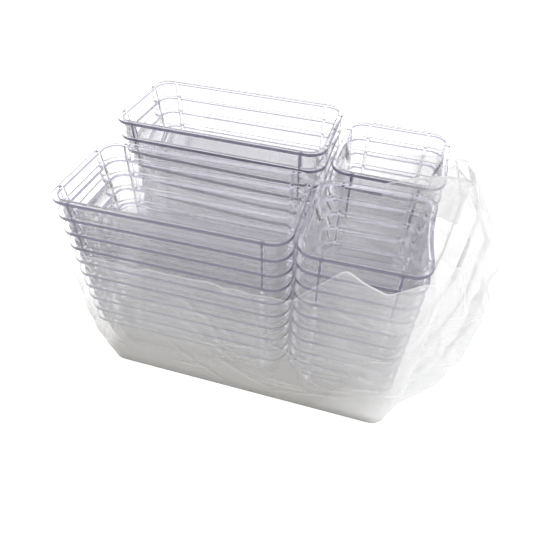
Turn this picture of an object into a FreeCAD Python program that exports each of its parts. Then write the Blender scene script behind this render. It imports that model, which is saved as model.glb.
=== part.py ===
import FreeCAD, Part
import math
import os
import Sketcher

from FreeCAD import Placement, Rotation, Vector

# A bagged set of loose organiser trays for a drawer: two sizes of clear moulded tray, nested in four
# stacks that stand side by side in one open film bag.
#
# Millimetres, +Z up. The origin lies on the surface that the set stands on, under the middle of the bag.
# +X runs along the long trays towards the small ones, and +Y from the front row to the rear row.

# ------------------------------------------------------------------ driving sizes

SIZES = [
    # the trays
    ("long_length", 152.0),        # long tray over its rim
    ("small_length", 74.0),        # small tray over its rim
    ("tray_width", 74.0),          # both trays over their rims
    ("tray_height", 50.8),         # both trays, underside to rim
    ("wall", 0.9),                 # side wall, measured level
    ("floor", 1.2),                # bottom of a tray
    ("corner_radius", 12.0),       # plan corner of the rim
    ("rim_overhang", 2.6),         # rim beyond the top of the wall
    ("rim_depth", 2.4),            # rim, top to underside
    ("rim_bevel", 0.6),            # broken edge round the rim's top
    ("lug_width", 2.4),            # stacking lug, along the wall
    ("lug_inset", 15.5),           # middle of a lug from the end of its side
    ("lug_setback", 0.5),          # lug's face behind the rim's edge
    # how they nest
    ("nest_pitch", 12.2),          # from one tray to the next
    ("nest_gap", 0.35),            # between the walls of two nested trays
    ("seat_gap", 0.1),             # under a lug or a bottom that rests on something
    # where the stacks stand
    ("front_gap", 2.4),            # between the two front stacks
    ("front_step", 3.2),           # small front stack ahead of the long one
    ("rear_shift", 3.0),           # rear long stack's left end from the front one's
    ("rear_gap", 3.8),             # between the two rear stacks
    ("row_gap", 0.9),              # between the long stacks where they are closest
    ("small_row_gap", 6.4),        # between the small stacks where they are closest
    ("rear_long_turn", 2.0),       # degrees clockwise, from above
    ("rear_small_turn", 2.6),      # degrees clockwise, from above
    # the film bag
    ("film", 0.4),                 # film, as a solid
    ("film_gap", 1.2),             # film clear of the rims
    ("film_corner", 12.0),         # plan corner of the bag
    ("film_tuck", 5.0),            # bag drawn in at its base
    ("gather", 34.0),              # gathered film beyond the right-hand rims
    ("pleat", 9.0),                # depth of the folds in the gathered film
    ("mouth_low", 124.0),          # height of the mouth round the long trays
    ("mouth_tip", 157.0),          # at the point that stands up before the small trays
    ("mouth_dip", 145.0),          # beside that point
    ("mouth_front", 160.0),        # at the front right corner
    ("mouth_rear", 138.0),         # at the rear right corner
    ("mouth_high", 176.0),         # at the gathered film between them
]

# How many trays each stack holds, from the bottom up.
STACK_COUNTS = {"front_long": 10, "front_small": 10, "rear_long": 11, "rear_small": 10}

# Straight facets round each plan corner of a tray that is nested in a stack. The tray on top is round.
NESTED_FACETS = 2

OUTPUT_FOLDER = "parts"

doc = FreeCAD.newDocument("organiser_trays")
sheet = doc.addObject("Spreadsheet::Sheet", "sizes")
for row, (alias, value) in enumerate(SIZES, start=1):
    sheet.set(f"A{row}", alias)
    sheet.set(f"B{row}", str(value))
    sheet.setAlias(f"B{row}", alias)
doc.recompute()


def size(expression):
    """The value of an expression over the sheet, as a plain number."""
    value = sheet.evalExpression(expression)
    return float(getattr(value, "Value", value))


# ------------------------------------------------------------------ sizes that follow from the sheet

# A nested wall clears the next by nest_gap, so the draft follows from the pitch.
DRAFT_RUN = "(sizes.wall + sizes.nest_gap) / sizes.nest_pitch"
DRAFT_ANGLE = f"atan({DRAFT_RUN})"
LUG_LENGTH = "(sizes.nest_pitch - sizes.rim_depth - sizes.seat_gap)"
RIM_UNDERSIDE = "(sizes.tray_height - sizes.rim_depth)"
# Outer and inner wall faces, measured in from the edge of the rim.
BASE_INSET = f"(sizes.rim_overhang + sizes.tray_height * {DRAFT_RUN})"
FLOOR_INSET = f"(sizes.rim_overhang + sizes.wall + (sizes.tray_height - sizes.floor) * {DRAFT_RUN})"
MID_WALL_INSET = f"(sizes.rim_overhang + sizes.wall / 2 + sizes.rim_depth / 2 * {DRAFT_RUN})"
OUTER_RADIUS = "(sizes.corner_radius - sizes.rim_overhang)"
INNER_RADIUS = f"({OUTER_RADIUS} - sizes.wall)"
STACK_BASE = "(sizes.film + sizes.seat_gap)"

# Front left rim corner of each stack, from the corner of the front long one.
STACKS = {
    "front_long": {
        "length": "sizes.long_length",
        "x": "0",
        "y": "0",
        "turn": "0",
    },
    "front_small": {
        "length": "sizes.small_length",
        "x": "(sizes.long_length + sizes.front_gap)",
        "y": "(-sizes.front_step)",
        "turn": "0",
    },
    "rear_long": {
        "length": "sizes.long_length",
        "x": "sizes.rear_shift",
        "y": "(sizes.tray_width + sizes.row_gap + sizes.long_length * sin(sizes.rear_long_turn))",
        "turn": "sizes.rear_long_turn",
    },
    "rear_small": {
        "length": "sizes.small_length",
        "x": "(sizes.rear_shift + sizes.long_length * cos(sizes.rear_long_turn)"
             " + sizes.tray_width * sin(sizes.rear_long_turn) + sizes.rear_gap"
             " - sizes.tray_width * sin(sizes.rear_small_turn))",
        "y": "(sizes.tray_width - sizes.front_step + sizes.small_row_gap"
             " + sizes.small_length * sin(sizes.rear_small_turn))",
        "turn": "sizes.rear_small_turn",
    },
}


def far_side(stack, axis):
    """How far right (axis x) or back (axis y) a stack reaches."""
    place = STACKS[stack]
    if axis == "x":
        reach = f"{place['length']} * cos({place['turn']}) + sizes.tray_width * sin({place['turn']})"
    else:
        reach = f"sizes.tray_width * cos({place['turn']})"
    return f"({place[axis]} + {reach})"


# The bag's four straight sides at the level of the rims.
BAG_LEFT = "(-sizes.film_gap - sizes.film)"
BAG_FRONT = "(-sizes.front_step - sizes.film_gap - sizes.film)"
RIMS_RIGHT = f"max({far_side('front_small', 'x')}; {far_side('rear_small', 'x')})"
RIMS_REAR = f"max({far_side('rear_long', 'y')}; {far_side('rear_small', 'y')})"
BAG_RIGHT = f"({RIMS_RIGHT} + sizes.film_gap + sizes.film)"
BAG_REAR = f"({RIMS_REAR} + sizes.film_gap + sizes.film)"
CENTRE_X = f"(({BAG_LEFT} + {BAG_RIGHT} + sizes.gather) / 2)"
CENTRE_Y = f"(({BAG_FRONT} + {BAG_REAR}) / 2)"


# ------------------------------------------------------------------ sketches

def new_sketch(body, name, height):
    """A sketch on the body's level plane, raised to a height given as an expression."""
    planes = {origin.Role: origin for origin in body.Origin.OriginFeatures}
    sketch = body.newObject("Sketcher::SketchObject", name)
    sketch.AttachmentSupport = [(planes["XY_Plane"], "")]
    sketch.MapMode = "FlatFace"
    sketch.setExpression("AttachmentOffset.Base.z", height)
    return sketch


def fix_point(sketch, geometry, end, x, y):
    """Tie one end of a line or arc to two expressions."""
    for kind, expression in (("DistanceX", x), ("DistanceY", y)):
        constraint = Sketcher.Constraint(kind, -1, 1, geometry, end, size(expression))
        index = sketch.addConstraint(constraint)
        sketch.setExpression(f"Constraints[{index}]", expression)


def draw_loop(sketch, corners):
    """A closed run of straight lines through corners given as pairs of expressions."""
    points = [Vector(size(x), size(y), 0) for x, y in corners]
    first = sketch.GeometryCount
    count = len(points)
    for index in range(count):
        sketch.addGeometry(Part.LineSegment(points[index], points[(index + 1) % count]), False)
    for index in range(count):
        following = first + (index + 1) % count
        sketch.addConstraint(Sketcher.Constraint("Coincident", first + index, 2, following, 1))
        fix_point(sketch, first + index, 1, *corners[index])


QUARTERS = ((1, 1), (-1, 1), (-1, -1), (1, -1))


def faceted_outline(sketch, half_x, half_y, radius):
    """A rounded rectangle whose corners are straight facets, each touching the true arc."""
    step = 90.0 / (NESTED_FACETS + 1)
    corners = []
    for quarter, (sign_x, sign_y) in enumerate(QUARTERS):
        for facet in range(NESTED_FACETS + 1):
            angle = 90.0 * quarter + step * (facet + 0.5)
            reach = f"{radius} / cos({step / 2})"
            corners.append((
                f"{sign_x} * ({half_x} - {radius}) + {reach} * cos({angle})",
                f"{sign_y} * ({half_y} - {radius}) + {reach} * sin({angle})",
            ))
    draw_loop(sketch, corners)


def round_outline(sketch, half_x, half_y, radius):
    """A rounded rectangle with true arcs at its corners."""
    first = sketch.GeometryCount
    arc_radius = size(radius)
    arcs = []
    for quarter, (sign_x, sign_y) in enumerate(QUARTERS):
        centre = Vector(sign_x * (size(half_x) - arc_radius), sign_y * (size(half_y) - arc_radius), 0)
        circle = Part.Circle(centre, Vector(0, 0, 1), arc_radius)
        start = math.radians(90 * quarter)
        arcs.append(Part.ArcOfCircle(circle, start, start + math.pi / 2))
        sketch.addGeometry(arcs[-1], False)
    for index in range(4):
        side = Part.LineSegment(arcs[index].EndPoint, arcs[(index + 1) % 4].StartPoint)
        sketch.addGeometry(side, False)
    for index, (sign_x, sign_y) in enumerate(QUARTERS):
        side = first + 4 + index
        sketch.addConstraint(Sketcher.Constraint("Tangent", first + index, 2, side, 1))
        sketch.addConstraint(Sketcher.Constraint("Tangent", side, 2, first + (index + 1) % 4, 1))
        fix_point(sketch, first + index, 3,
                  f"{sign_x} * ({half_x} - {radius})", f"{sign_y} * ({half_y} - {radius})")
    for index in range(3):
        sketch.addConstraint(Sketcher.Constraint("Equal", first + index, first + index + 1))
    held = sketch.addConstraint(Sketcher.Constraint("Radius", first, arc_radius))
    sketch.setExpression(f"Constraints[{held}]", radius)


def sharp_outline(sketch, half_x, half_y, radius):
    """A plain rectangle, for walls whose upright edges are rounded afterwards."""
    draw_loop(sketch, [(f"{sign_x} * {half_x}", f"{sign_y} * {half_y}") for sign_x, sign_y in QUARTERS])


# ------------------------------------------------------------------ trays

def new_pad(body, name, sketch, length, downward=False):
    pad = body.newObject("PartDesign::Pad", name)
    pad.Profile = sketch
    pad.Reversed = downward
    pad.setExpression("Length", length)
    doc.recompute()
    return pad


def new_draft(body, name, base, level, outside):
    """Widen a tub, or its hollow, upwards from a level plane that stays as it is."""
    on_level = []
    upright = []
    for index, face in enumerate(base.Shape.Faces, start=1):
        box = face.BoundBox
        if box.ZLength < 1e-6 and abs(box.ZMin - level) < 1e-6:
            on_level.append(f"Face{index}")
        elif box.ZLength > 1e-6 and abs(box.ZMin - level) < 1e-6:
            upright.append(f"Face{index}")
    draft = body.newObject("PartDesign::Draft", name)
    draft.Base = (base, upright)
    draft.NeutralPlane = (base, on_level[:1])
    draft.Reversed = outside
    draft.setExpression("Angle", DRAFT_ANGLE)
    doc.recompute()
    return draft


def new_bevel(body, name, base, level, width):
    """Break the outer edge of the flat face at one level."""
    outer = []
    for face in base.Shape.Faces:
        box = face.BoundBox
        if box.ZLength < 1e-6 and abs(box.ZMin - level) < 1e-6:
            outer += face.OuterWire.Edges
    bevel = body.newObject("PartDesign::Chamfer", name)
    bevel.Base = (base, [
        f"Edge{index}" for index, edge in enumerate(base.Shape.Edges, start=1)
        if any(edge.isSame(other) for other in outer)
    ])
    bevel.setExpression("Size", width)
    doc.recompute()
    return bevel


def round_corners(body, name, base, lowest, radius):
    """Round the four leaning corner edges that run from one level to the top."""
    edges = []
    for index, edge in enumerate(base.Shape.Edges, start=1):
        box = edge.BoundBox
        leaning = min(box.XLength, box.YLength) > 1e-3
        if leaning and abs(box.ZMin - lowest) < 1e-6 and abs(box.ZMax - size("sizes.tray_height")) < 1e-6:
            edges.append(f"Edge{index}")
    fillet = body.newObject("PartDesign::Fillet", name)
    fillet.Base = (base, edges)
    fillet.setExpression("Radius", radius)
    doc.recompute()
    return fillet


def lug_corners(length):
    """Plan rectangles of the eight lugs, two on each side, from inside the wall to near the rim's edge."""
    root = f"(sizes.rim_overhang + sizes.wall / 2 + ({LUG_LENGTH} + sizes.rim_depth) * {DRAFT_RUN})"
    rectangles = []
    for end in (-1, 1):
        for side in (-1, 1):
            near = f"{side} * (sizes.tray_width / 2 - sizes.lug_setback)"
            deep = f"{side} * (sizes.tray_width / 2 - {root})"
            middle = f"{end} * ({length} / 2 - sizes.lug_inset)"
            left = f"{middle} - sizes.lug_width / 2"
            right = f"{middle} + sizes.lug_width / 2"
            rectangles.append([(left, near), (right, near), (right, deep), (left, deep)])
            near = f"{end} * ({length} / 2 - sizes.lug_setback)"
            deep = f"{end} * ({length} / 2 - {root})"
            middle = f"{side} * (sizes.tray_width / 2 - sizes.lug_inset)"
            front = f"{middle} - sizes.lug_width / 2"
            rear = f"{middle} + sizes.lug_width / 2"
            rectangles.append([(near, front), (near, rear), (deep, rear), (deep, front)])
    return rectangles


def make_tray(name, length, rounded):
    """One moulded tray: drafted tub, flat rim and eight lugs, with its origin under its middle."""
    body = doc.addObject("PartDesign::Body", name)
    wall_outline = sharp_outline if rounded else faceted_outline
    rim_outline = round_outline if rounded else faceted_outline

    def draw(sketch, outline, inset):
        outline(sketch, f"({length} / 2 - {inset})", f"(sizes.tray_width / 2 - {inset})",
                f"(sizes.corner_radius - {inset})")

    underside = new_sketch(body, f"{name}_underside", "0")
    draw(underside, wall_outline, BASE_INSET)
    tub = new_pad(body, f"{name}_tub", underside, "sizes.tray_height")
    new_draft(body, f"{name}_walls", tub, 0.0, outside=True)

    lug_plan = new_sketch(body, f"{name}_lug_plan", RIM_UNDERSIDE)
    for rectangle in lug_corners(length):
        draw_loop(lug_plan, rectangle)
    new_pad(body, f"{name}_lugs", lug_plan, LUG_LENGTH, downward=True)

    floor_edge = new_sketch(body, f"{name}_floor_edge", "sizes.floor")
    draw(floor_edge, wall_outline, FLOOR_INSET)
    hollow = body.newObject("PartDesign::Pocket", f"{name}_hollow")
    hollow.Profile = floor_edge
    hollow.Reversed = True
    hollow.setExpression("Length", "sizes.tray_height - sizes.floor")
    doc.recompute()
    shell = new_draft(body, f"{name}_inner_walls", hollow, size("sizes.floor"), outside=False)
    if rounded:
        shell = round_corners(body, f"{name}_inner_corners", shell, size("sizes.floor"), INNER_RADIUS)
        round_corners(body, f"{name}_outer_corners", shell, 0.0, OUTER_RADIUS)

    rim_plan = new_sketch(body, f"{name}_rim_plan", RIM_UNDERSIDE)
    draw(rim_plan, rim_outline, "0")
    draw(rim_plan, rim_outline, MID_WALL_INSET)
    rim = new_pad(body, f"{name}_rim", rim_plan, "sizes.rim_depth")
    if rounded:
        new_bevel(body, f"{name}_rim_bevel", rim, size("sizes.tray_height"), "sizes.rim_bevel")
    return body


def place_tray(design, stack, level):
    """A copy of a tray design in its stack, counted from 0 at the bottom."""
    place = STACKS[stack]
    label = f"{stack}_tray_{level + 1:02d}"
    tray = doc.addObject("PartDesign::Body", label)
    moulding = doc.addObject("PartDesign::FeatureBase", f"{label}_moulding")
    moulding.BaseFeature = design
    tray.Group = [moulding]
    tray.Tip = moulding
    tray.Placement = Placement(Vector(0, 0, 0), Rotation(Vector(0, 0, 1), -1))
    half_x = f"{place['length']} / 2"
    half_y = "sizes.tray_width / 2"
    turn = place["turn"]
    tray.setExpression("Placement.Base.x",
                       f"{place['x']} + {half_x} * cos({turn}) + {half_y} * sin({turn}) - {CENTRE_X}")
    tray.setExpression("Placement.Base.y",
                       f"{place['y']} - {half_x} * sin({turn}) + {half_y} * cos({turn}) - {CENTRE_Y}")
    tray.setExpression("Placement.Base.z", f"{STACK_BASE} + {level} * sizes.nest_pitch")
    tray.setExpression("Placement.Rotation.Angle", f"-({turn})")
    return tray


# ------------------------------------------------------------------ film bag

# The bag's levels: height, as an expression or as a share of the mouth's height above each point,
# how far it is drawn in (in tucks), how far its gather stands out, and how deeply that is pleated.
SHOULDER = f"{STACK_BASE} + {RIM_UNDERSIDE} - {LUG_LENGTH}"
BAG_LEVELS = [
    ("0", 1.0, 0.35, 0.0),
    (SHOULDER, 0.0, 0.75, 0.6),
    ("0.6 * sizes.mouth_low", 0.0, 1.0, 1.0),
    (0.8, 0.0, 1.0, 1.0),
    (1.0, 0.0, 0.3, 0.6),
]
CORNER_FACETS = 3
# The gathered side is drawn in steps from front to rear. It stands out furthest at one of them,
# bulges evenly towards both corners, and folds inwards at every second step.
GATHER_STEPS = 10
GATHER_PEAK = 3
GATHER_SKEW = math.log(0.5) / math.log(GATHER_PEAK / GATHER_STEPS)
GATHER_FULLNESS = 0.4
# Along the small trays, from their left end: how far (in their lengths), and the mouth's height there.
FRONT_MOUTH = [(0.0, "sizes.mouth_low"), (0.4, "sizes.mouth_tip"), (0.72, "sizes.mouth_dip")]
REAR_MOUTH = [(0.0, "sizes.mouth_low")]


def bag_stations(tuck, gather, pleat):
    """Corners of the bag's outline, anticlockwise from the rear right, with the mouth's height at each."""
    left = size(BAG_LEFT) + tuck
    right = size(BAG_RIGHT) - tuck
    front = size(BAG_FRONT) + tuck
    rear = size(BAG_REAR) - tuck
    radius = size("sizes.film_corner")
    low = size("sizes.mouth_low")
    at_front = size("sizes.mouth_front")
    at_rear = size("sizes.mouth_rear")

    def along_small_trays(mouth_points, y):
        start = size(STACKS["front_small"]["x"])
        length = size("sizes.small_length")
        return [(start + share * length, y, size(height)) for share, height in mouth_points]

    corners = (
        (right - radius, rear - radius, 0, at_rear, along_small_trays(REAR_MOUTH, rear)),
        (left + radius, rear - radius, 90, low, []),
        (left + radius, front + radius, 180, low, along_small_trays(FRONT_MOUTH, front)),
        (right - radius, front + radius, 270, at_front, []),
    )
    stations = []
    for centre_x, centre_y, start, mouth, along in corners:
        for facet in range(CORNER_FACETS + 1):
            angle = math.radians(start + 90 * facet / CORNER_FACETS)
            x = centre_x + radius * math.cos(angle)
            y = centre_y + radius * math.sin(angle)
            stations.append((x, y, mouth))
        stations += along
    for step in range(1, GATHER_STEPS):
        share = step / GATHER_STEPS
        swell = gather * math.sin(math.pi * share ** GATHER_SKEW) ** GATHER_FULLNESS
        if (step - GATHER_PEAK) % 2:
            swell = max(swell - pleat, 0)
        ends = at_front + (at_rear - at_front) * share
        mouth = ends + (size("sizes.mouth_high") - ends) * math.sin(math.pi * share)
        stations.append((right + swell, front + radius + (rear - front - 2 * radius) * share, mouth))
    return stations


def bag_rings():
    """The bag's outlines from its base up to its mouth, as rings of points."""
    centre = Vector(size(CENTRE_X), size(CENTRE_Y), 0)
    rings = []
    for height, tucks, gathers, pleats in BAG_LEVELS:
        tuck = tucks * size("sizes.film_tuck")
        gather = gathers * size("sizes.gather")
        pleat = pleats * size("sizes.pleat")
        ring = []
        for x, y, mouth in bag_stations(tuck, gather, pleat):
            level = size(height) if isinstance(height, str) else height * mouth
            ring.append(Vector(x, y, level) - centre)
        rings.append(ring)
    return rings


def plan_direction(start, end):
    direction = Vector(end.x - start.x, end.y - start.y, 0)
    return direction.normalize()


def inner_face(ring):
    """An anticlockwise ring moved inwards by the film's thickness, and on to it at the base."""
    film = size("sizes.film")
    moved = []
    for index, point in enumerate(ring):
        arriving = plan_direction(ring[index - 1], point)
        leaving = plan_direction(point, ring[(index + 1) % len(ring)])
        along = (arriving + leaving).normalize()
        inward = Vector(-along.y, along.x, 0)
        inner = point + inward * (film / along.dot(leaving))
        inner.z = max(point.z, film)
        moved.append(inner)
    return moved


def flat(*points):
    return Part.Face(Part.makePolygon([*points, points[0]]))


def band(lower, upper):
    """Flat triangles between two rings of the same number of points."""
    faces = []
    for index, corner in enumerate(lower):
        following = (index + 1) % len(lower)
        faces.append(flat(corner, lower[following], upper[following]))
        faces.append(flat(corner, upper[following], upper[index]))
    return faces


def make_bag():
    """The film bag: a thin open-topped skin, low round the long trays and gathered high at the right."""
    outer = bag_rings()
    inner = [inner_face(ring) for ring in outer]
    faces = [flat(*outer[0]), flat(*inner[0])]
    for rings in (outer, inner):
        for lower, upper in zip(rings, rings[1:]):
            faces += band(lower, upper)
    faces += band(outer[-1], inner[-1])
    bag = doc.addObject("Part::Feature", "film_bag")
    skin = Part.Solid(Part.Shell(faces))
    if skin.Volume < 0:
        skin.reverse()
    bag.Shape = skin
    bag.Placement = Placement()
    return bag


# ------------------------------------------------------------------ assembly

designs = {}
for kind, length in (("long", "sizes.long_length"), ("small", "sizes.small_length")):
    designs[kind, "nested"] = make_tray(f"{kind}_tray_nested", length, rounded=False)
    designs[kind, "top"] = make_tray(f"{kind}_tray_top", length, rounded=True)

nodes = []
for stack, count in STACK_COUNTS.items():
    kind = stack.split("_")[1]
    for level in range(count):
        form = "top" if level == count - 1 else "nested"
        nodes.append(place_tray(designs[kind, form], stack, level))
nodes.append(make_bag())
doc.recompute()

for item in doc.Objects:
    if "Invalid" in item.State or "Error" in item.State:
        raise RuntimeError(f"{item.Label} failed: {item.State}")
for node in nodes:
    shape = node.Shape
    if shape.isNull() or not shape.isValid() or len(shape.Solids) != 1:
        raise RuntimeError(f"{node.Label} is not one valid solid")

os.makedirs(OUTPUT_FOLDER, exist_ok=True)
for node in nodes:
    node.Shape.exportStep(os.path.join(OUTPUT_FOLDER, f"{node.Label}.step"))
    print(f"{node.Label}: {node.Shape.Volume:.0f} mm3")
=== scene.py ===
import math

import bpy
import numpy as np
from mathutils import Matrix, Vector


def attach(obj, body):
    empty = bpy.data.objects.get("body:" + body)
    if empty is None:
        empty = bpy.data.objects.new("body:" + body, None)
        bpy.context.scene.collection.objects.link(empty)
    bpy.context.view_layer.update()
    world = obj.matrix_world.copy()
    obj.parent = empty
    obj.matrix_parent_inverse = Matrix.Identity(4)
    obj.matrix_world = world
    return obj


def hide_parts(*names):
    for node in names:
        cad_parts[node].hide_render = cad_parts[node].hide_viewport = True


# Four nested stacks of clear organiser trays in a thin film bag. Metres, +Z up.

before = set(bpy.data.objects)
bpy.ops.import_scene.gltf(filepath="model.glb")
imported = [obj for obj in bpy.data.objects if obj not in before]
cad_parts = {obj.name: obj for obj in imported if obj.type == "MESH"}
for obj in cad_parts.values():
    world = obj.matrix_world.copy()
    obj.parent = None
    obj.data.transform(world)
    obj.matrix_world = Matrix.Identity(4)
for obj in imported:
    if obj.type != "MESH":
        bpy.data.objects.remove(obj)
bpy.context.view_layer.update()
scene = bpy.context.scene
print("frame loaded:", len(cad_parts), "nodes")


# helpers for wiring node trees

class Wire:
    # one socket, so that node maths can be written as Python
    def __init__(self, bench, socket):
        self.bench = bench
        self.socket = socket

    def __add__(self, other):
        return self.bench.maths("ADD", self, other)

    def __radd__(self, other):
        return self.bench.maths("ADD", other, self)

    def __sub__(self, other):
        return self.bench.maths("SUBTRACT", self, other)

    def __rsub__(self, other):
        return self.bench.maths("SUBTRACT", other, self)

    def __mul__(self, other):
        return self.bench.maths("MULTIPLY", self, other)

    def __rmul__(self, other):
        return self.bench.maths("MULTIPLY", other, self)

    def __truediv__(self, other):
        return self.bench.maths("DIVIDE", self, other)

    def __pow__(self, other):
        return self.bench.maths("POWER", self, other)


class Placed:
    # one node on the bench; its outputs are read by name or by number
    def __init__(self, bench, node):
        self.bench = bench
        self.node = node

    def __getitem__(self, key):
        return Wire(self.bench, self.node.outputs[key])


class Bench:
    # a node tree being wired
    def __init__(self, tree):
        self.tree = tree

    def add(self, kind, settings=None, sockets=None):
        # the stops are a colour ramp's, and choices is how many items an index switch has
        node = self.tree.nodes.new(kind)
        for name, value in (settings or {}).items():
            if name == "stops":
                self.setStops(node.color_ramp, value)
            elif name == "choices":
                while len(node.index_switch_items) < value:
                    node.index_switch_items.new()
            else:
                setattr(node, name, value)
        for key, value in (sockets or {}).items():
            self.feed(node.inputs[key], value)
        return Placed(self, node)

    def feed(self, socket, value):
        if isinstance(value, list):  # several links into one socket
            for part in value:
                self.feed(socket, part)
            return
        if isinstance(value, Placed):
            value = value[0]
        if isinstance(value, Wire):
            self.tree.links.new(value.socket, socket)
        else:
            socket.default_value = value

    def setStops(self, ramp, stops):
        while len(ramp.elements) < len(stops):
            ramp.elements.new(1.0)
        for element, (place, colour) in zip(ramp.elements, stops):
            element.position = place
            element.color = colour

    def maths(self, operation, *values, clamp=False):
        settings = {"operation": operation, "use_clamp": clamp}
        return self.add("ShaderNodeMath", settings, dict(enumerate(values)))[0]

    def vector(self, x=0.0, y=0.0, z=0.0):
        return self.add("ShaderNodeCombineXYZ", {}, {0: x, 1: y, 2: z})

    def parts(self, vector):
        return self.add("ShaderNodeSeparateXYZ", {}, {0: vector})

    def mixColours(self, share, first, second):
        # a Mix node has its colours at sockets 6 and 7, and their mix at output 2
        return self.add("ShaderNodeMix", {"data_type": "RGBA"}, {0: share, 6: first, 7: second})[2]

    def store(self, geometry, name, value):
        # a number kept at each point of a mesh, for the materials
        sockets = {"Geometry": geometry, "Name": name, "Value": value}
        return self.add("GeometryNodeStoreNamedAttribute", {"data_type": "FLOAT"}, sockets)


# the trays

tray = {
    "longLength": 0.152,
    "smallLength": 0.074,
    "width": 0.074,
    "height": 0.0508,
    "cornerRadius": 0.012,
    "wall": 0.0009,
    "floor": 0.0012,
    "rimOverhang": 0.0026,  # how far the rim stands out past the top of the wall
    "rimDepth": 0.0024,
    "rimRound": 0.0006,
    "lipShare": 0.7,        # the rim's inner round, as a share of its outer one
    "rimTone": 1.0,         # how strongly its outer face is painted slate, as shade
    # the rim's outer round is painted slate too, a little less, as shade
    "bevelTone": 0.8,
    "baseRound": 0.0012,
    "floorRound": 0.0022,
    "lugWidth": 0.0024,
    "lugInset": 0.0155,     # from the end of a side to the middle of a lug
    "lugSetback": 0.0005,   # from the rim's outer face back to the lug's
    "lugRound": 0.0005,
    "lugArcSteps": 3,
    "lugTone": 0.95,        # painted slate shade on the lugs' outer faces, on the top trays of a stack
    "lowLugTone": 0.35,     # and on the others
    "clearLugs": 3,         # how many count as the top ones
    "lugFaceReach": 0.00004,
    "nestPitch": 0.0122,
    "nestGap": 0.00035,
    "seatGap": 0.0001,
    "film": 0.0004,         # the bag's base, on which the lowest trays stand
    "arcSteps": 8,
    "sideSteps": 6,
    "weld": 1e-6,
    "smoothUpTo": 32,       # degrees
}

# front left rim corner of each stack, its turn in degrees clockwise, and how far the
# film squeezes the right rim of the tray on top
stacks = {
    "front_long": {"length": "longLength", "count": 10, "at": (-0.1346069, -0.0756403),
                   "turn": 0.0, "squeeze": 0.0},
    "front_small": {"length": "smallLength", "count": 10, "at": (0.0197931, -0.0788403),
                    "turn": 0.0, "squeeze": 0.0022},
    "rear_long": {"length": "longLength", "count": 11, "at": (-0.1316069, 0.0045644),
                  "turn": 2.0, "squeeze": 0.0},
    "rear_small": {"length": "smallLength", "count": 10, "at": (0.0233224, 0.0049167),
                   "turn": 2.6, "squeeze": 0.0},
}

quarter = math.pi / 2
nudge = 0.25  # added before rounding down, so that a whole number isn't taken for the one below


def newTree(name, inputs):
    tree = bpy.data.node_groups.new(name, "GeometryNodeTree")
    for label, socketType in inputs:
        tree.interface.new_socket(label, in_out="INPUT", socket_type=socketType)
    tree.interface.new_socket("Geometry", in_out="OUTPUT", socket_type="NodeSocketGeometry")
    return tree


def traySection(given):
    # a tray's wall from the middle of the underside round to the middle of the floor. Each line of it:
    # spread, inset from the rim's edge, plan radius, height, and how strongly it is painted slate, as shade
    height, draft, overhang = given["Height"], given["Draft"], given["Rim overhang"]
    rimRadius, rimRound = given["Corner radius"], given["Rim round"]
    baseRound, floorRound, floor = given["Base round"], given["Floor round"], given["Floor"]
    outerRadius = rimRadius - overhang
    innerRadius = outerRadius - given["Wall"]
    rimFoot = height - given["Rim depth"]
    level = floor + floorRound
    lip = rimRound * tray["lipShare"]
    bend = 1 - math.sqrt(0.5)  # the middle of a quarter round is this far in, per radius
    anyRadius = 0.001          # has no effect where the spread is nought

    def outside(z):
        return overhang + (height - z) * draft

    def inside(z):
        return outside(z) + given["Wall"]

    section = [
        (0.0, 0.0, anyRadius, 0.0, 0.0),
        (1.0, outside(0.0) + baseRound, outerRadius - baseRound, 0.0, 0.0),
        (1.0, outside(0.0) + baseRound * bend, outerRadius - baseRound * bend, baseRound * bend, 0.0),
        (1.0, outside(baseRound), outerRadius, baseRound, 0.0),
        (1.0, outside(rimFoot), outerRadius, rimFoot, 0.0),
        (1.0, rimRound * 0.5, rimRadius - rimRound * 0.5, rimFoot, 0.0),
        (1.0, 0.0, rimRadius, rimFoot + rimRound * 0.5, tray["rimTone"]),
        (1.0, 0.0, rimRadius, height - rimRound, tray["rimTone"]),
        (1.0, rimRound * bend, rimRadius - rimRound * bend, height - rimRound * bend, tray["bevelTone"]),
        (1.0, rimRound, rimRadius - rimRound, height, 0.0),
        (1.0, inside(height) - lip, innerRadius + lip, height, 0.0),
        (1.0, inside(height) - lip * bend, innerRadius + lip * bend, height - lip * bend, 0.0),
        (1.0, inside(height - lip), innerRadius, height - lip, 0.0),
        (1.0, inside(level), innerRadius, level, 0.0),
    ]
    for turned in (30, 60, 90):
        inward = floorRound * (1 - math.cos(math.radians(turned)))
        downward = floorRound * math.sin(math.radians(turned))
        section += [(1.0, inside(level) + inward, innerRadius - inward, level - downward, 0.0)]
    return section + [(0.0, 0.0, anyRadius, floor, 0.0)]


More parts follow.
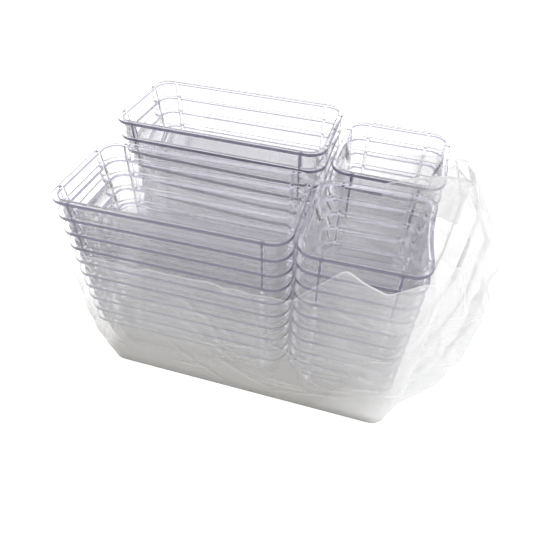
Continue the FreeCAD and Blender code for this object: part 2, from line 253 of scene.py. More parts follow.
def trayShell(bench, given):
    # a rounded-rectangle loft: one ring of points for each line of the section
    section = traySection(given)
    last = len(section) - 1
    steps = given["Arc steps"] + given["Side steps"]
    columns = steps * 4
    grid = bench.add("GeometryNodeMeshGrid", {}, {
        "Size X": 1.0,
        "Size Y": 1.0,
        "Vertices X": columns + 1,
        "Vertices Y": len(section),
    })
    place = bench.parts(bench.add("GeometryNodeInputPosition"))
    column = bench.maths("ROUND", (place["X"] + 0.5) * columns)
    row = bench.maths("ROUND", (place["Y"] + 0.5) * last)

    def atRow(which):
        settings = {"data_type": "FLOAT", "choices": len(section)}
        switch = bench.add("GeometryNodeIndexSwitch", settings, {"Index": row})
        for item, line in enumerate(section):
            bench.feed(switch.node.inputs[item + 1], line[which])
        return switch[0]

    spread, inset, radius, lift, paintedShade = (atRow(which) for which in range(5))
    corner = bench.maths("FLOOR", (column + nudge) / steps)
    step = column - corner * steps
    arcShare = bench.maths("MINIMUM", step / given["Arc steps"], 1.0)
    sideShare = bench.maths("MAXIMUM", step - given["Arc steps"], 0.0) / given["Side steps"]
    angle = (corner + arcShare) * quarter

    def cornerSign(turn, ahead):
        return bench.maths(turn, (corner + (0.5 + ahead)) * quarter) * math.sqrt(2)

    def across(turn, side):
        half = side * 0.5 - inset - radius
        signs = cornerSign(turn, 0) * (1 - sideShare) + cornerSign(turn, 1) * sideShare
        return (half * signs + radius * bench.maths(turn, angle)) * spread

    ring = bench.vector(across("COSINE", given["Length"]), across("SINE", given["Width"]), lift)
    # the underside is the first two lines of the section, and the floor's top the last two
    flat = bench.maths("LESS_THAN", row, 1.5) + bench.maths("GREATER_THAN", row, last - 1.5)
    # the painted slate shade of each line, and the floors, which are frosted and get a trace of that shade
    shell = bench.store(bench.store(grid, "edgeTone", paintedShade), "floorFrost", flat)
    shell = bench.add("GeometryNodeSetPosition", {}, {"Geometry": shell, "Position": ring})
    return bench.add("GeometryNodeMergeByDistance", {}, {"Geometry": shell, "Distance": tray["weld"]})


def trayLugs(bench, given):
    # a lug is a rounded bar that hangs from the rim, its back following the tapered wall
    length, width, rimDepth = given["Length"], given["Width"], given["Rim depth"]
    reach = given["Rim overhang"] - given["Lug setback"] + given["Wall"] * 0.5
    bar = bench.add("GeometryNodeCurvePrimitiveQuadrilateral", {}, {
        "Width": given["Lug width"],
        "Height": reach,
    })
    bar = bench.add("GeometryNodeFilletCurve", {"mode": "POLY"}, {
        0: bar,
        "Count": tray["lugArcSteps"],
        "Radius": given["Lug round"],
    })
    cap = bench.add("GeometryNodeFillCurve", {"mode": "NGONS"}, {0: bar})
    pulled = bench.add("GeometryNodeExtrudeMesh", {"mode": "FACES"}, {
        "Mesh": cap,
        "Offset": bench.vector(z=given["Lug length"] * -1.0 - rimDepth * 0.5),
        "Individual": False,
    })
    flipped = bench.add("GeometryNodeFlipFaces", {}, {0: pulled})
    closed = bench.add("GeometryNodeJoinGeometry", {}, {0: [flipped, cap]})
    lug = bench.add("GeometryNodeMergeByDistance", {}, {"Geometry": closed, "Distance": tray["weld"]})
    place = bench.parts(bench.add("GeometryNodeInputPosition"))
    backward = bench.maths("GREATER_THAN", place["Y"], 0.0) * place["Z"] * given["Draft"] * -1.0
    lean = bench.vector(y=backward)
    lug = bench.add("GeometryNodeSetPosition", {}, {"Geometry": lug, "Offset": lean})
    # two on each side: eight points, numbered round the tray
    spots = bench.add("GeometryNodePoints", {}, {"Count": 8})
    number = bench.add("GeometryNodeInputIndex")[0]
    side = bench.maths("FLOOR", (number + nudge) / 2)
    nearEnd = (number - side * 2) * 2 - 1
    lengthwise = bench.maths("LESS_THAN", bench.maths("MODULO", side + nudge, 2.0), 0.5)
    sideHalf = (length * lengthwise + width * (1 - lengthwise)) * 0.5
    otherHalf = (width * lengthwise + length * (1 - lengthwise)) * 0.5
    along = (sideHalf - given["Lug inset"]) * nearEnd
    outward = otherHalf - given["Lug setback"] - reach * 0.5
    turn = side * quarter
    sine, cosine = bench.maths("SINE", turn), bench.maths("COSINE", turn)
    spot = bench.vector(
        along * cosine + outward * sine,
        along * sine - outward * cosine,
        given["Height"] - rimDepth * 0.5,
    )
    spots = bench.add("GeometryNodeSetPosition", {}, {"Geometry": spots, "Position": spot})
    lugs = bench.add("GeometryNodeInstanceOnPoints", {}, {
        "Points": spots,
        "Instance": lug,
        "Rotation": bench.vector(z=turn),
    })
    return bench.add("GeometryNodeRealizeInstances", {}, {0: lugs})


def trayTree():
    lengths = ["Length", "Width", "Height", "Corner radius", "Wall", "Floor", "Draft", "Rim overhang",
               "Rim depth", "Rim round", "Base round", "Floor round", "Lug width", "Lug length",
               "Lug inset", "Lug setback", "Lug round", "Lug tone", "Stack X", "Stack Y", "Turn",
               "Base height", "Squeeze"]
    counts = ["Arc steps", "Side steps"]
    inputs = [(label, "NodeSocketFloat") for label in lengths]
    inputs += [(label, "NodeSocketInt") for label in counts]
    inputs += [("Plastic", "NodeSocketMaterial")]
    tree = newTree("nestingTray", inputs)
    bench = Bench(tree)
    given = bench.add("NodeGroupInput")
    length, width, height = given["Length"], given["Width"], given["Height"]
    moulded = [trayShell(bench, given), trayLugs(bench, given)]
    whole = bench.add("GeometryNodeMeshBoolean", {"operation": "UNION"}, {"Mesh 2": moulded})

    # the lugs' outer faces get the painted slate shade as well. They are found by place, after the union
    here = bench.parts(bench.add("GeometryNodeInputPosition"))
    fromEnd = length * 0.5 - bench.maths("ABSOLUTE", here["X"])
    fromSide = width * 0.5 - bench.maths("ABSOLUTE", here["Y"])

    def lugFace(depth, clearance):
        shallow = bench.maths("COMPARE", depth, given["Lug setback"], tray["lugFaceReach"])
        return shallow * bench.maths("GREATER_THAN", clearance, given["Corner radius"])

    under = bench.maths("LESS_THAN", here["Z"], height - given["Rim depth"] * 0.5)
    lugTone = (lugFace(fromSide, fromEnd) + lugFace(fromEnd, fromSide)) * under * given["Lug tone"]
    kept = bench.add("GeometryNodeInputNamedAttribute", {"data_type": "FLOAT"}, {"Name": "edgeTone"})
    shadeWithLugs = bench.maths("MAXIMUM", kept["Attribute"], lugTone)
    whole = bench.store(whole, "edgeTone", shadeWithLugs)
    # the film's squeeze on the right side, most at the top and in the middle of the rim
    onRight = bench.maths("MAXIMUM", here["X"] / (length * 0.5), 0.0) ** 3.0
    midway = bench.maths("COSINE", here["Y"] / width * math.pi) ** 2.0
    high = (here["Z"] / height) ** 2.0
    bow = bench.vector(onRight * midway * high * given["Squeeze"] * -1.0)
    bowed = bench.add("GeometryNodeSetPosition", {}, {"Geometry": whole, "Offset": bow})
    # to its place in the stack: the front left rim corner is the pivot
    pivoted = bench.add("GeometryNodeTransform", {}, {
        "Geometry": bowed,
        "Translation": bench.vector(length * 0.5, width * 0.5),
    })
    placed = bench.add("GeometryNodeTransform", {}, {
        "Geometry": pivoted,
        "Translation": bench.vector(given["Stack X"], given["Stack Y"], given["Base height"]),
        "Rotation": bench.vector(z=given["Turn"] * -1.0),
    })
    solid = bench.add("GeometryNodeRealizeInstances", {}, {0: placed})
    finish = {"Geometry": solid, "Material": given["Plastic"]}
    bench.add("NodeGroupOutput", {}, {0: bench.add("GeometryNodeSetMaterial", {}, finish)})
    return tree


def setInputs(modifier, values):
    for item in modifier.node_group.interface.items_tree:
        if item.in_out == "INPUT":
            modifier[item.identifier] = values[item.name]


def trayInputs(stack, level):
    onTop = level == stack["count"] - 1
    clear = level >= stack["count"] - tray["clearLugs"]
    return {
        "Length": tray[stack["length"]],
        "Width": tray["width"],
        "Height": tray["height"],
        "Corner radius": tray["cornerRadius"],
        "Wall": tray["wall"],
        "Floor": tray["floor"],
        "Draft": (tray["wall"] + tray["nestGap"]) / tray["nestPitch"],
        "Rim overhang": tray["rimOverhang"],
        "Rim depth": tray["rimDepth"],
        "Rim round": tray["rimRound"],
        "Base round": tray["baseRound"],
        "Floor round": tray["floorRound"],
        "Lug width": tray["lugWidth"],
        "Lug length": tray["nestPitch"] - tray["rimDepth"] - tray["seatGap"],
        "Lug inset": tray["lugInset"],
        "Lug setback": tray["lugSetback"],
        "Lug round": tray["lugRound"],
        # the lugs' painted slate shade, stronger on the top trays of a stack
        "Lug tone": tray["lugTone"] if clear else tray["lowLugTone"],
        "Stack X": stack["at"][0],
        "Stack Y": stack["at"][1],
        "Turn": math.radians(stack["turn"]),
        "Base height": tray["film"] + tray["seatGap"] + level * tray["nestPitch"],
        "Squeeze": stack["squeeze"] if onTop else 0.0,
        "Arc steps": tray["arcSteps"],
        "Side steps": tray["sideSteps"],
        "Plastic": plastic,
    }


clearPlastic = {
    "colour": (0.998, 0.9973, 1.0, 1.0),
    "ior": 1.5,
    "roughness": 0.025,
    "floorRoughness": 0.2,
    "floorShare": 0.015,              # how much of the painted slate shade the floors have
    # the dark slate painted on rim and lug edges as shade
    "edge": (0.12, 0.115, 0.18, 1.0),
    "edgeRoughness": 0.12,
    "edgeShare": 0.9,
    "insideShare": 0.32,              # how much of that painted shade is left when seen from inside
    "rippleScale": 45.0,
    "rippleDetail": 2.0,
    "rippleStrength": 0.08,
    "rippleHeight": 0.001,
    "shade": (0.997, 0.997, 0.998, 1.0),
}


def newMaterial(name):
    material = bpy.data.materials.new(name)
    material.use_nodes = True
    material.node_tree.nodes.clear()
    return material, Bench(material.node_tree)


def clearPlasticMaterial(look):
    material, bench = newMaterial("clearPlastic")
    spot = bench.add("ShaderNodeTexCoord")["Object"]
    ripple = bench.add("ShaderNodeTexNoise", {}, {
        "Vector": spot,
        "Scale": look["rippleScale"],
        "Detail": look["rippleDetail"],
    })
    bump = bench.add("ShaderNodeBump", {}, {
        "Strength": look["rippleStrength"],
        "Distance": look["rippleHeight"],
        "Height": ripple["Fac"],
    })
    paintedShade = bench.add("ShaderNodeAttribute", {"attribute_name": "edgeTone"})["Fac"]
    frostAndShade = bench.add("ShaderNodeAttribute", {"attribute_name": "floorFrost"})["Fac"]
    inner = bench.add("ShaderNodeNewGeometry")["Backfacing"]
    glass = bench.add("ShaderNodeBsdfPrincipled", {}, {
        "Base Color": look["colour"],
        "Roughness": look["roughness"] + frostAndShade * (look["floorRoughness"] - look["roughness"]),
        "IOR": look["ior"],
        "Transmission Weight": 1.0,
        "Normal": bump,
    })
    # painted shade: rims' and lugs' outer faces get dark slate, as thick clear edges carry light away
    edge = bench.add("ShaderNodeBsdfPrincipled", {}, {
        "Base Color": look["edge"],
        "Roughness": look["edgeRoughness"],
        "IOR": look["ior"],
    })
    outside = 1 - inner * (1 - look["insideShare"])
    shadeShare = paintedShade * outside * look["edgeShare"] + frostAndShade * look["floorShare"]
    glass = bench.add("ShaderNodeMixShader", {}, {0: shadeShare, 1: glass, 2: edge})
    # lamps shine through, so that the trays' shadows stay pale
    lampPath = bench.add("ShaderNodeBsdfTransparent", {}, {"Color": look["shade"]})
    ray = bench.add("ShaderNodeLightPath")
    mixed = bench.add("ShaderNodeMixShader", {}, {0: ray["Is Shadow Ray"], 1: glass, 2: lampPath})
    bench.add("ShaderNodeOutputMaterial", {}, {"Surface": mixed})
    return material


plastic = clearPlasticMaterial(clearPlastic)

hosts = {}
tree = trayTree()
for stackName, stack in stacks.items():
    for level in range(stack["count"]):
        node = f"{stackName}_tray_{level + 1:02d}"
        host = bpy.data.objects.new(node + "_moulding", bpy.data.meshes.new(node + "_start"))
        scene.collection.objects.link(host)
        modifier = host.modifiers.new("nestingTray", "NODES")
        modifier.node_group = tree
        setInputs(modifier, trayInputs(stack, level))
        hosts[node] = host

depsgraph = bpy.context.evaluated_depsgraph_get()
for node, host in hosts.items():
    moulding = bpy.data.meshes.new_from_object(host.evaluated_get(depsgraph))
    host.modifiers.clear()
    host.data = moulding
    moulding.shade_smooth()
    moulding.set_sharp_from_angle(angle=math.radians(tray["smoothUpTo"]))
    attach(host, node)
    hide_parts(node)
print("trays made:", len(hosts))


# the film bag

filmBag = {
    "left": -0.13621,
    "right": 0.10221,
    "front": -0.08044,
    "rear": 0.08044,
    "corner": 0.012,
    "cornerSteps": 6,
    "base": 0.0002,          # the height of the base
    "baseRings": 6,
    "tuck": 0.005,
    "gather": 0.034,
    "gatherSteps": 10,
    "gatherPeak": 3,         # the step where it stands out most
    "gatherFullness": 0.4,   # 1 is a sine's swell, and less is fuller
    "pleat": 0.009,
    "smallTrays": 0.01979,   # where the small stacks begin
    "smallLength": 0.074,
    "mouthLow": 0.124,
    "mouthTip": 0.157,
    "mouthDip": 0.145,
    "tipAt": 0.4,            # both along the small trays' front
    "dipAt": 0.72,
    "mouthFront": 0.160,
    "mouthRear": 0.138,
    "mouthHigh": 0.176,
    "mouthWaves": ((9, 0.0008), (23, 0.0006), (41, 0.0004)),  # how many round the bag, and how high
    "columns": 420,
    "softRows": 3,
    "softColumns": 1,
    "thickness": 0.00016,
    "looseAt": 0.5,          # the share of the gather's reach where the film is quite loose
    "loosening": 0.6,        # a power: the lower, the sooner it is loose
    "calmBelow": 0.012,      # the creases fade out below this height
    "hem": 0.0012,
    "hemMiddle": 0.062,      # where the hem is whitened across the small trays, as a painted highlight
    "hemReach": 0.012,
    "hemFaint": 0.25,        # how white it is elsewhere
    "seed": 11,
    "flat": (0.80, 0.19),
}

# the bag's levels: height in metres or, from the second last, as a share of the mouth's height; how far
# it is tucked in, how far its gather stands out, how deeply that is pleated, and the rows of faces up
# to the next
filmLevels = [
    {"height": 0.0002, "tuck": 1.0, "gather": 0.35, "pleat": 0.0, "rows": 22},
    {"height": 0.0392, "tuck": 0.0, "gather": 0.75, "pleat": 0.6, "rows": 20},
    {"height": 0.0744, "tuck": 0.0, "gather": 1.0, "pleat": 1.0, "rows": 22},
    {"share": 0.8, "tuck": 0.0, "gather": 1.0, "pleat": 1.0, "rows": 24},
    {"share": 1.0, "tuck": 0.0, "gather": 0.3, "pleat": 0.6, "rows": 0},
]

# creases: how many; their lean in radians, as a mean and a spread; and, as lowest and highest, the level
# of their middle, how far they reach each way, their half width and their rise
tightCreases = {
    "count": 170,
    "level": (0.02, 0.13),
    "lean": (0, 0.9),
    "reach": (0.008, 0.045),
    "width": (0.0015, 0.005),
    "bothWays": False,        # True makes hollows as well as ridges
    "rise": (0.0003, 0.0009),
    "lostInGather": 0.3,      # how much weaker they are where the film is loose
}
looseCreases = {
    "count": 80,
    "level": (0.01, 0.175),
    "lean": (1.4, 0.6),
    "reach": (0.015, 0.06),
    "width": (0.003, 0.009),
    "bothWays": True,
    "rise": (0.0008, 0.0026),
    "before": 0.03,           # how far they spread past the loose film, at its start and at its end
    "after": 0.02,
    "limits": (-0.0035, 0.003),
}

# the loose tongue of film that stands between the two small stacks: place along X, middle in Y,
# foot and top; and its waves: how many radians along a metre and from foot to top, and how strong
filmTongue = {
    "points": [(0.1100, -0.0012, 0.140, 0.1735), (0.1035, -0.0016, 0.142, 0.1745),
               (0.0957, -0.0012, 0.144, 0.1738), (0.0857, -0.0016, 0.146, 0.1712),
               (0.0718, -0.0008, 0.148, 0.1670), (0.0600, -0.0006, 0.150, 0.1600)],
    "columns": 60,
    "rows": 24,
    "waves": ((420, 3, 1.0), (900, -5, 0.6), (300, 9, 0.5)),
    "phases": (0, 6.28),
    "waver": 0.00055,
}


def filmStations(level):
    # the bag's outline at one level, anticlockwise from the rear right, with the mouth's height there
    tuck = level["tuck"] * filmBag["tuck"]
    gather = level["gather"] * filmBag["gather"]
    pleat = level["pleat"] * filmBag["pleat"]
    left, right = filmBag["left"] + tuck, filmBag["right"] - tuck
    front, rear = filmBag["front"] + tuck, filmBag["rear"] - tuck
    radius, low = filmBag["corner"], filmBag["mouthLow"]
    small, length = filmBag["smallTrays"], filmBag["smallLength"]
    frontMouth = [(small, front, low), (small + length * filmBag["tipAt"], front, filmBag["mouthTip"]),
                  (small + length * filmBag["dipAt"], front, filmBag["mouthDip"])]
    corners = [(right, rear, 0, filmBag["mouthRear"], [(small, rear, low)]), (left, rear, 90, low, []),
               (left, front, 180, low, frontMouth), (right, front, 270, filmBag["mouthFront"], [])]
    stations = []
    for x, y, start, mouth, along in corners:
        middleX = x - math.copysign(radius, x)
        middleY = y - math.copysign(radius, y)
        for step in range(filmBag["cornerSteps"] + 1):
            angle = math.radians(start + 90 * step / filmBag["cornerSteps"])
            stations.append((middleX + radius * math.cos(angle), middleY + radius * math.sin(angle), mouth))
        stations += along
    # the gathered side, its swell skewed towards the peak
    steps, peak = filmBag["gatherSteps"], filmBag["gatherPeak"]
    skew = math.log(0.5) / math.log(peak / steps)
    for step in range(1, steps):
        share = step / steps
        swell = gather * math.sin(math.pi * share ** skew) ** filmBag["gatherFullness"]
        if (step - peak) % 2:
            swell = max(swell - pleat, 0)
        ends = filmBag["mouthFront"] + (filmBag["mouthRear"] - filmBag["mouthFront"]) * share
        mouth = ends + (filmBag["mouthHigh"] - ends) * math.sin(math.pi * share)
        stations.append((right + swell, front + radius + (rear - front - 2 * radius) * share, mouth))
    return np.array(stations + stations[:1])


def triangleWave(values):
    return 4 * np.abs(values - np.floor(values + 0.5)) - 1


def softened(values, axis, reach):
    # a running mean that leaves both ends as they are, or goes round where the axis is the girth
    window = 2 * reach + 1
    if axis == 1:
        return sum(np.roll(values, step, axis=1) for step in range(-reach, reach + 1)) / window
    before, after = np.repeat(values[:1], reach, axis=0), np.repeat(values[-1:], reach, axis=0)
    padded = np.concatenate([before, values, after])
    mean = sum(padded[step:step + len(values)] for step in range(window)) / window
    mean[0], mean[-1] = values[0], values[-1]
    return mean


def drawCreases(random, creases, first, last):
    drawn = []
    for one in range(creases["count"]):
        middle, level = random.uniform(first, last), random.uniform(*creases["level"])
        lean = random.normal(*creases["lean"])
        reach, width = random.uniform(*creases["reach"]), random.uniform(*creases["width"])
        way = random.choice((-1, 1)) if creases["bothWays"] else 1
        drawn.append((middle, level, lean, reach, width, way * random.uniform(*creases["rise"])))
    return drawn


def creaseField(along, height, creases):
    # straight ridges, each fading towards its ends
    lift = np.zeros_like(along)
    for middle, level, lean, reach, width, rise in creases:
        ahead = (along - middle) * math.cos(lean) + (height - level) * math.sin(lean)
        aside = (height - level) * math.cos(lean) - (along - middle) * math.sin(lean)
        ridge = np.clip(1 - np.abs(aside) / width, 0, None)
        fade = np.clip(1 - (ahead / reach) ** 2, 0, None)
        lift += rise * ridge * fade
    return lift


def filmGrid():
    # rows of points from the base up to the mouth, without creases, and the distance round the bag
    columns = filmBag["columns"]
    widest = filmStations(filmLevels[2])
    steps = np.linalg.norm(np.diff(widest[:, :2], axis=0), axis=1)
    lengths = np.concatenate([[0], np.cumsum(steps)])
    along = np.arange(columns) / columns * lengths[-1]
    stationAt = np.interp(along, lengths, np.arange(len(lengths)))
    rings = []
    for level in filmLevels:
        stations = filmStations(level)
        numbers = np.arange(len(stations))
        x, y, mouth = (np.interp(stationAt, numbers, stations[:, axis]) for axis in range(3))
        height = mouth * level["share"] if "share" in level else np.full(columns, level["height"])
        rings.append(np.stack([x, y, height], axis=1))
    layers = []
    for lower, upper, level in zip(rings, rings[1:], filmLevels):
        for row in range(level["rows"]):
            layers.append(lower + (upper - lower) * row / level["rows"])
    layers.append(rings[-1])
    grid = softened(softened(np.array(layers), 0, filmBag["softRows"]), 1, filmBag["softColumns"])
    return grid, along, lengths[-1]


def outwardOf(grid):
    # outward directions of the smooth bag
    around = np.roll(grid, -1, axis=1) - np.roll(grid, 1, axis=1)
    outward = np.cross(around, np.gradient(grid, axis=0))
    return outward / (np.linalg.norm(outward, axis=2, keepdims=True) + 1e-12)


def makeFilm():
    grid, along, girth = filmGrid()
    columns, rows = filmBag["columns"], len(grid) - 1
    random = np.random.default_rng(filmBag["seed"])
    # how loose the film is: 0 where it is drawn round the rims, 1 in the gathered side
    standsOut = (grid[rows // 2, :, 0] - filmBag["right"]) / (filmBag["gather"] * filmBag["looseAt"])
    looseness = np.clip(standsOut, 0, 1) ** filmBag["loosening"]
    looseStart = along[np.argmax(looseness > 0.02)]
    ragged = np.zeros(columns)
    for wave, rise in filmBag["mouthWaves"]:
        ragged += rise * triangleWave(along / girth * wave + random.random())
    climb = np.linspace(0, 1, rows + 1)[:, None]
    grid[:, :, 2] += ragged * climb ** 4
    outward = outwardOf(grid)

    tight = drawCreases(random, tightCreases, 0, girth)
    firstLoose, lastLoose = looseStart - looseCreases["before"], girth + looseCreases["after"]
    loose = drawCreases(random, looseCreases, firstLoose, lastLoose)
    heights = grid[:, :, 2].copy()
    lengthwise = np.broadcast_to(along, heights.shape)
    calm = np.clip(heights / filmBag["calmBelow"], 0, 1)
    lift = creaseField(lengthwise, heights, tight) * (1 - tightCreases["lostInGather"] * looseness)
    folds = creaseField(lengthwise, heights, loose)
    lift = lift + np.clip(folds, *looseCreases["limits"]) * looseness
    grid = grid + outward * (lift * calm)[:, :, None]
    grid[:, :, 2] = np.maximum(grid[:, :, 2], filmBag["base"])

    points = [tuple(point) for layer in grid for point in layer]
    # the hem is faintly whiter all round, and white as a painted highlight where it crosses the small trays
    fromMiddle = (grid[-1, :, 0] - filmBag["hemMiddle"]) / filmBag["hemReach"]
    highlightCrossing = np.exp(-fromMiddle ** 2) * (grid[-1, :, 1] < 0)
    whiteness = filmBag["hemFaint"] + (1 - filmBag["hemFaint"]) * highlightCrossing
    hemTone = list((np.clip(1 - (heights[-1] - heights) / filmBag["hem"], 0, 1) * whiteness).ravel())
    faces = []
    for row in range(rows):
        for column in range(columns):
            following = (column + 1) % columns
            low, high = row * columns, (row + 1) * columns
            faces.append((low + column, low + following, high + following, high + column))
    addBase(grid[0], points, faces)
    hemTone += [0.0] * (len(points) - len(hemTone))
    addTongue(points, faces, hemTone, random)

    mesh = bpy.data.meshes.new("filmBag")
    mesh.from_pydata(points, [], faces)
    mesh.update()
    mesh.attributes.new("hemTone", "FLOAT", "POINT").data.foreach_set("value", hemTone)
    bag = bpy.data.objects.new("film_bag_sheet", mesh)
    scene.collection.objects.link(bag)
    mesh.materials.append(film)
    skin = bag.modifiers.new("filmThickness", "SOLIDIFY")
    skin.thickness = filmBag["thickness"]
    skin.offset = 0.0
    return bag


def addBase(edge, points, faces):
    # the base, in rings from its edge towards its middle
    columns = len(edge)
    middle = edge.mean(axis=0)
    previous = list(range(columns))
    for ring in range(1, filmBag["baseRings"]):
        share = ring / filmBag["baseRings"]
        start = len(points)
        for spot in edge * (1 - share) + middle * share:
            points.append((spot[0], spot[1], filmBag["base"]))
        current = list(range(start, start + columns))
        for column in range(columns):
            following = (column + 1) % columns
            faces.append((previous[column], current[column], current[following], previous[following]))
        previous = current
    points.append((middle[0], middle[1], filmBag["base"]))
    for column in range(columns):
        faces.append((previous[column], len(points) - 1, previous[(column + 1) % columns]))


def addTongue(points, faces, hemTone, random):
    keys = np.array(filmTongue["points"])
    columns, rows = filmTongue["columns"], filmTongue["rows"]
    shares = np.linspace(0, len(keys) - 1, columns + 1)
    x, y, foot, top = (np.interp(shares, np.arange(len(keys)), keys[:, axis]) for axis in range(4))
    phases = random.uniform(*filmTongue["phases"], 3)
    start = len(points)
    for row in range(rows + 1):
        climb = row / rows
        height = foot + (top - foot) * climb
        waver = sum(strength * np.sin(x * ahead + climb * up + phase)
                    for (ahead, up, strength), phase in zip(filmTongue["waves"], phases))
        points += list(zip(x, y + waver * filmTongue["waver"], height))
        # the tongue's top edge is whitened like the hem's
        hemTone += [1.0 if row > rows - 2 else 0.0] * (columns + 1)
    for row in range(rows):
        for column in range(columns):
            low = start + row * (columns + 1) + column
            high = low + columns + 1
            faces.append((low, low + 1, high + 1, high))


# how much of the film shows, as shares, and what it looks like there. Places are in metres
filmLook = {
    "clear": (0.998, 0.998, 0.998, 1.0),
    "body": (0.97, 0.97, 0.97, 1.0),
    # painted shade: the body is greyer low on the bag and dark at its foot, as a painted shadow
    "lowBody": (0.60, 0.59, 0.565, 1.0),
    "footBody": (0.29, 0.28, 0.26, 1.0),
    "ior": 1.5,
    "roughness": 0.35,
    "haze": 0.05,            # everywhere
    "lowHaze": 0.25,         # more towards the foot
    "lowTop": 0.11,
    "footHaze": 0.26,
    "footTop": 0.014,
    "paleFrom": 0.1,         # the share of lowTop from which the painted shade lifts upwards
    "sideHaze": 0.2,         # cloudy, towards the gathered side
    "sideFrom": 0.04,
    "sideReach": 0.05,
    "sideInGather": 0.2,     # how much of that is left in the gathered side
    "gatherHaze": 0.17,
    "gatherFrom": 0.082,
    "gatherReach": 0.02,
    "edgeHaze": 0.45,        # where it is seen edge on
    # the hem, with its painted highlight across the small trays
    "hemHaze": 0.6,
    "cloudScale": 26.0,
    "cloudDetail": 4.0,
    "cloudHaze": 0.08,
    # painted highlight: thin white streaks along cell edges, in place of glints on the creases
    "veinScale": 60.0,
    "veinFineness": 14.0,
    "veinHaze": 0.018,
    "crinkleScale": 90.0,
    "crinkleDetail": 5.0,
    "crinkleWarp": 0.8,
    "crinkleStrength": 0.35,
    "crinkleHeight": 0.002,
}


def filmMaterial(look):
    material, bench = newMaterial("clearFilm")
    spot = bench.add("ShaderNodeTexCoord")["Object"]
    place = bench.parts(spot)
    cloud = bench.add("ShaderNodeTexNoise", {}, {
        "Vector": spot,
        "Scale": look["cloudScale"],
        "Detail": look["cloudDetail"],
    })["Fac"]
    crinkle = bench.add("ShaderNodeTexNoise", {}, {
        "Vector": spot,
        "Scale": look["crinkleScale"],
        "Detail": look["crinkleDetail"],
        "Distortion": look["crinkleWarp"],
    })["Fac"]
    # painted highlight: thin white streaks along cell edges, in place of glints on the creases
    glintLines = bench.add("ShaderNodeTexVoronoi", {"feature": "DISTANCE_TO_EDGE"}, {
        "Vector": spot,
        "Scale": look["veinScale"],
    })["Distance"]
    facing = bench.add("ShaderNodeLayerWeight", {}, {"Blend": 0.5})["Facing"]
    # the hem's whiteness, with its painted highlight across the small trays
    hem = bench.add("ShaderNodeAttribute", {"attribute_name": "hemTone"})["Fac"]
    bump = bench.add("ShaderNodeBump", {}, {
        "Strength": look["crinkleStrength"],
        "Distance": look["crinkleHeight"],
        "Height": crinkle,
    })
    # each from 0 to 1: low on the bag, at its foot, where a shadow is painted, beside the gathered side,
    # and in it
    upLow = place["Z"] / look["lowTop"]
    low = bench.maths("SUBTRACT", 1.0, upLow, clamp=True)
    gathered = bench.maths("DIVIDE", place["X"] - look["gatherFrom"], look["gatherReach"], clamp=True)
    foot = bench.maths("SUBTRACT", 1.0, place["Z"] / look["footTop"], clamp=True) * (1 - gathered)
    beside = bench.maths("DIVIDE", place["X"] - look["sideFrom"], look["sideReach"], clamp=True)
    # painted shade: the body is greyer low on the bag and whiter upwards and towards the gathered side
    lessShaded = bench.maths("MAXIMUM", beside, bench.maths("SUBTRACT", upLow, look["paleFrom"], clamp=True))
    lessShaded = bench.maths("MAXIMUM", gathered, lessShaded)
    body = bench.mixColours(lessShaded, look["lowBody"], look["body"])
    # painted shadow: the body turns dark grey along the foot
    gloss = bench.add("ShaderNodeBsdfPrincipled", {}, {
        "Base Color": bench.mixColours(foot, body, look["footBody"]),
        "Roughness": look["roughness"],
        "IOR": look["ior"],
        "Normal": bump,
    })
    through = bench.add("ShaderNodeBsdfTransparent", {}, {"Color": look["clear"]})
    glintStreak = bench.maths("SUBTRACT", 1.0, glintLines * look["veinFineness"], clamp=True) ** 3.0
    share = look["haze"] + low * (1 - gathered) * look["lowHaze"] + gathered * look["gatherHaze"]
    cloudy = beside * (1 - gathered * (1 - look["sideInGather"])) * cloud * 2  # clouds are near a half
    share = share + cloudy * look["sideHaze"] + foot * look["footHaze"]
    share = share + (cloud - 0.5) * look["cloudHaze"] + glintStreak * look["veinHaze"] + hem * look["hemHaze"]
    share = share + (facing ** 3.0) * look["edgeHaze"]
    mixed = bench.add("ShaderNodeMixShader", {}, {0: share, 1: through, 2: gloss})
    bench.add("ShaderNodeOutputMaterial", {}, {"Surface": mixed})
    return material


film = filmMaterial(filmLook)
bag = makeFilm()
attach(bag, "film_bag")
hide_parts("film_bag")
print("film made:", len(bag.data.polygons), "faces")


# studio and camera

studio = {
    "worldLight": 1.12,
    "floorColour": (0.86, 0.86, 0.86, 1.0),
    "floorGlow": 0.55,
    "floorSize": 6.0,
    "white": (1.0, 1.0, 1.0, 1.0),
    "ceiling": [(0.0, (1.0, 1.0, 1.0, 1.0)), (0.12, (1.0, 1.0, 1.0, 1.0)), (0.40, (0.80, 0.77, 0.92, 1.0)),
                (0.90, (0.74, 0.715, 0.87, 1.0)), (0.97, (1.0, 1.0, 1.0, 1.0))],
    "wallBounces": 96,    # light passes many clear walls before it leaves a stack
    "filmBounces": 256,
}

viewpoint = {
    "place": (0.05609, -0.25418, 0.32709),
    "forward": (-0.18879, 0.68302, -0.70558),
    "rightLift": 0.009,   # how far the camera's right side rises over a metre
    "lens": 30.75,
    "sensor": 36.0,
    "shift": (-0.006, -0.0024),
}


def makeFloor():
    half = studio["floorSize"] / 2
    corners = [(-half, -half, 0), (half, -half, 0), (half, half, 0), (-half, half, 0)]
    mesh = bpy.data.meshes.new("studioFloor")
    mesh.from_pydata(corners, [], [(0, 1, 2, 3)])
    floor = bpy.data.objects.new("studioFloor", mesh)
    scene.collection.objects.link(floor)
    material, bench = newMaterial("studioFloor")
    ray = bench.add("ShaderNodeLightPath")
    clear = bench.maths("MAXIMUM", ray["Is Glossy Ray"], ray["Is Transmission Ray"])
    seen = bench.maths("MAXIMUM", ray["Is Camera Ray"], clear)
    paint = bench.add("ShaderNodeBsdfDiffuse", {}, {"Color": studio["floorColour"]})
    glow = bench.add("ShaderNodeEmission", {}, {
        "Color": studio["white"],
        "Strength": seen * studio["floorGlow"],
    })
    both = bench.add("ShaderNodeAddShader", {}, {0: paint, 1: glow})
    bench.add("ShaderNodeOutputMaterial", {}, {"Surface": both})
    mesh.materials.append(material)


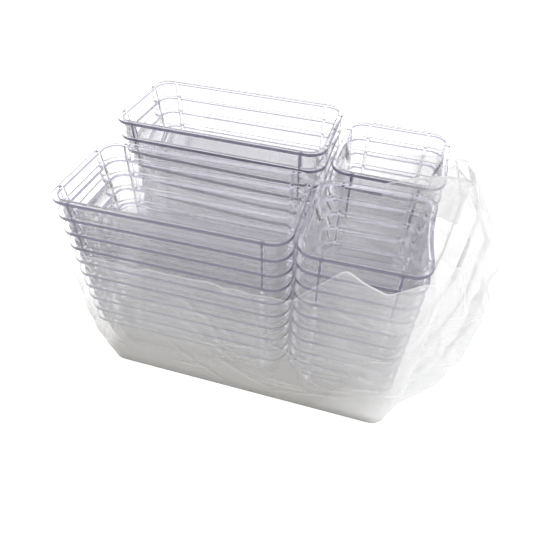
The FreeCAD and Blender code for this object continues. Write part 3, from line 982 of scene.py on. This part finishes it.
def makeWorld():
    world = bpy.data.worlds.new("studioWorld")
    scene.world = world
    world.use_nodes = True
    world.node_tree.nodes.clear()
    bench = Bench(world.node_tree)
    ray = bench.add("ShaderNodeLightPath")
    rise = bench.parts(bench.add("ShaderNodeTexCoord")["Generated"])["Z"]
    # clear things mirror and bend a white horizon with a dimmer ceiling over it
    ceiling = bench.add("ShaderNodeValToRGB", {"stops": studio["ceiling"]}, {"Fac": rise})["Color"]

    def background(colour, strength):
        return bench.add("ShaderNodeBackground", {}, {"Color": colour, "Strength": strength})

    lit, mirrored = background(studio["white"], studio["worldLight"]), background(ceiling, 1.0)
    seen = background(studio["white"], 1.0)
    clear = bench.maths("MAXIMUM", ray["Is Glossy Ray"], ray["Is Transmission Ray"])
    around = bench.add("ShaderNodeMixShader", {}, {0: clear, 1: lit, 2: mirrored})
    mixed = bench.add("ShaderNodeMixShader", {}, {0: ray["Is Camera Ray"], 1: around, 2: seen})
    bench.add("ShaderNodeOutputWorld", {}, {"Surface": mixed})


def makeCamera():
    data = bpy.data.cameras.new("viewCamera")
    data.lens = viewpoint["lens"]
    data.sensor_width = viewpoint["sensor"]
    data.sensor_height = viewpoint["sensor"]
    data.sensor_fit = "AUTO"
    data.shift_x, data.shift_y = viewpoint["shift"]
    camera = bpy.data.objects.new("viewCamera", data)
    scene.collection.objects.link(camera)
    forward = Vector(viewpoint["forward"]).normalized()
    level = forward.cross(Vector((0, 0, 1))).normalized()
    over = level.cross(forward)
    roll = math.asin(viewpoint["rightLift"] / over.z)
    right = level * math.cos(roll) + over * math.sin(roll)
    up = right.cross(forward)
    turned = Matrix((right, up, -forward)).transposed().to_4x4()
    camera.matrix_world = Matrix.Translation(viewpoint["place"]) @ turned
    scene.camera = camera


makeFloor()
makeWorld()
makeCamera()
scene.view_settings.view_transform = "Standard"
scene.cycles.transparent_max_bounces = studio["filmBounces"]
scene.cycles.max_bounces = studio["wallBounces"]
scene.cycles.transmission_bounces = studio["wallBounces"]
scene.cycles.glossy_bounces = studio["wallBounces"]
print("studio ready")
